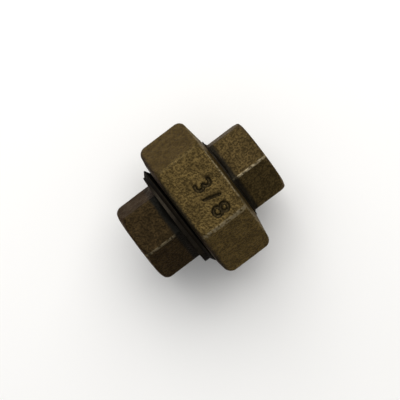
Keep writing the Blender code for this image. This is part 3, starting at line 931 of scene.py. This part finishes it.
class UNION_OT_seat_ring(bpy.types.Operator):
    """Model the brass seat ring, with its bore and conical front"""

    bl_idname = "pipe_union.seat_ring"
    bl_label = "Seat Ring"

    def execute(self, context):
        sizes, finish = context.scene.union_sizes, context.scene.union_finish
        ring = start_object(
            bpy.ops.mesh.primitive_cylinder_add, "seat_ring_brass", vertices=ROUND_COLUMNS,
            radius=RING_RADIUS, depth=RING_BACK - RING_FRONT,
            location=AXIS + Vector(((RING_FRONT + RING_BACK) / 2, 0, 0)), rotation=bar_rotation(0.0))
        apply_place(ring)
        select_where(ring, "FACE", lambda face: abs(face.normal.x) > 0.9)
        bpy.ops.mesh.inset(thickness=RING_RADIUS - sizes.seat_bore_diameter / 2, use_individual=True)
        bpy.ops.mesh.bridge_edge_loops()
        near = 0.1 * MM
        select_where(ring, "EDGE", lambda edge: all(
            vert.co.x < RING_FRONT + near and (vert.co - AXIS).yz.length > RING_RADIUS - near
            for vert in edge.verts))
        bpy.ops.mesh.bevel(offset=sizes.seat_cone, segments=1, affect="EDGES")
        select_where(ring, "EDGE", lambda edge: edge.calc_face_angle(0) > math.radians(30))
        bpy.ops.mesh.bevel(offset=0.08 * MM, segments=2, affect="EDGES")
        bpy.ops.mesh.select_all(action="SELECT")
        bpy.ops.mesh.normals_make_consistent(inside=False)
        leave_edit_mode()
        coat(ring, cut_metal("turned_brass", finish.brass_color, 0.28, (1.0, 0.85, 0.55)))
        hand_over(ring, "seat", "seat_ring")
        return {"FINISHED"}


class UNION_OT_stage(bpy.types.Operator):
    """Set out the pale floor, the soft studio lights and the camera"""

    bl_idname = "pipe_union.stage"
    bl_label = "Studio Stage"

    def execute(self, context):
        scene, stage = context.scene, context.scene.union_stage
        floor = start_object(
            bpy.ops.mesh.primitive_circle_add, "studio_floor", vertices=96, radius=FLOOR_RADIUS,
            fill_type="NGON")
        coat(floor, plain_floor(stage.floor_color))

        world = bpy.data.worlds.new("studio")
        world.use_nodes = True
        background = world.node_tree.nodes["Background"].inputs
        background["Color"].default_value = (1.0, 1.0, 1.0, 1.0)
        background["Strength"].default_value = stage.daylight
        scene.world = world
        soft_light(
            "key_light", place=(0.22, 0.26, 0.52), size=0.75, power=stage.key_power,
            color=(1.0, 0.98, 0.95))
        soft_light(
            "fill_light", place=(0.0, 0.48, 0.36), size=0.5, power=stage.fill_power,
            color=(1.0, 0.99, 0.97))

        forward = Vector((0, math.cos(stage.camera_elevation), -math.sin(stage.camera_elevation)))
        level_up = Vector((0, math.sin(stage.camera_elevation), math.cos(stage.camera_elevation)))
        roll = stage.camera_roll
        right = math.cos(roll) * Vector((1, 0, 0)) - math.sin(roll) * level_up
        up = math.sin(roll) * Vector((1, 0, 0)) + math.cos(roll) * level_up
        target = AXIS + VIEW_OFFSET[0] * right + VIEW_OFFSET[1] * up
        bpy.ops.object.camera_add()
        camera = context.object
        camera.name = "studio_camera"
        place = Matrix((right, up, -forward)).transposed().to_4x4()
        place.translation = target - stage.camera_distance * forward
        camera.matrix_world = place
        camera.data.sensor_width = 36
        camera.data.lens = camera.data.sensor_width * stage.camera_distance / stage.view_width
        camera.data.clip_start, camera.data.clip_end = 0.01, 20
        scene.camera = camera
        scene.view_settings.view_transform = "Standard"
        return {"FINISHED"}


def soft_light(name, place, size, power, color):
    """A square soft light aimed at the union."""
    bpy.ops.object.light_add(type="AREA", location=place)
    light = bpy.context.object
    light.name = name
    light.data.size = size
    light.data.energy = power
    light.data.color = color
    light.rotation_euler = (AXIS - light.location).to_track_quat("-Z", "Y").to_euler()


class UNION_PT_sidebar(bpy.types.Panel):
    """The union's pieces, sizes and finish, in the order they are made"""

    bl_idname = "UNION_PT_sidebar"
    bl_label = "Pipe Union"
    bl_space_type = "VIEW_3D"
    bl_region_type = "UI"
    bl_category = "Pipe Union"

    def draw(self, context):
        layout = self.layout
        for operator in OPERATORS:
            layout.operator(operator.bl_idname)
        for group in (context.scene.union_sizes, context.scene.union_finish, context.scene.union_stage):
            box = layout.box()
            for name in group.__annotations__:
                box.prop(group, name)


OPERATORS = (UNION_OT_threaded_end, UNION_OT_tail_end, UNION_OT_nut, UNION_OT_seat_ring, UNION_OT_stage)
CLASSES = (UnionSizes, UnionFinish, UnionStage, *OPERATORS, UNION_PT_sidebar)


def register():
    for entry in CLASSES:
        bpy.utils.register_class(entry)
    bpy.types.Scene.union_sizes = PointerProperty(type=UnionSizes)
    bpy.types.Scene.union_finish = PointerProperty(type=UnionFinish)
    bpy.types.Scene.union_stage = PointerProperty(type=UnionStage)


def unregister():
    del bpy.types.Scene.union_stage
    del bpy.types.Scene.union_finish
    del bpy.types.Scene.union_sizes
    for entry in reversed(CLASSES):
        bpy.utils.unregister_class(entry)


def main():
    """Make every piece and the stage."""
    register()
    bpy.ops.pipe_union.threaded_end()
    bpy.ops.pipe_union.tail_end()
    bpy.ops.pipe_union.nut()
    bpy.ops.pipe_union.seat_ring()
    bpy.ops.pipe_union.stage()


if __name__ == "__main__":
    main()
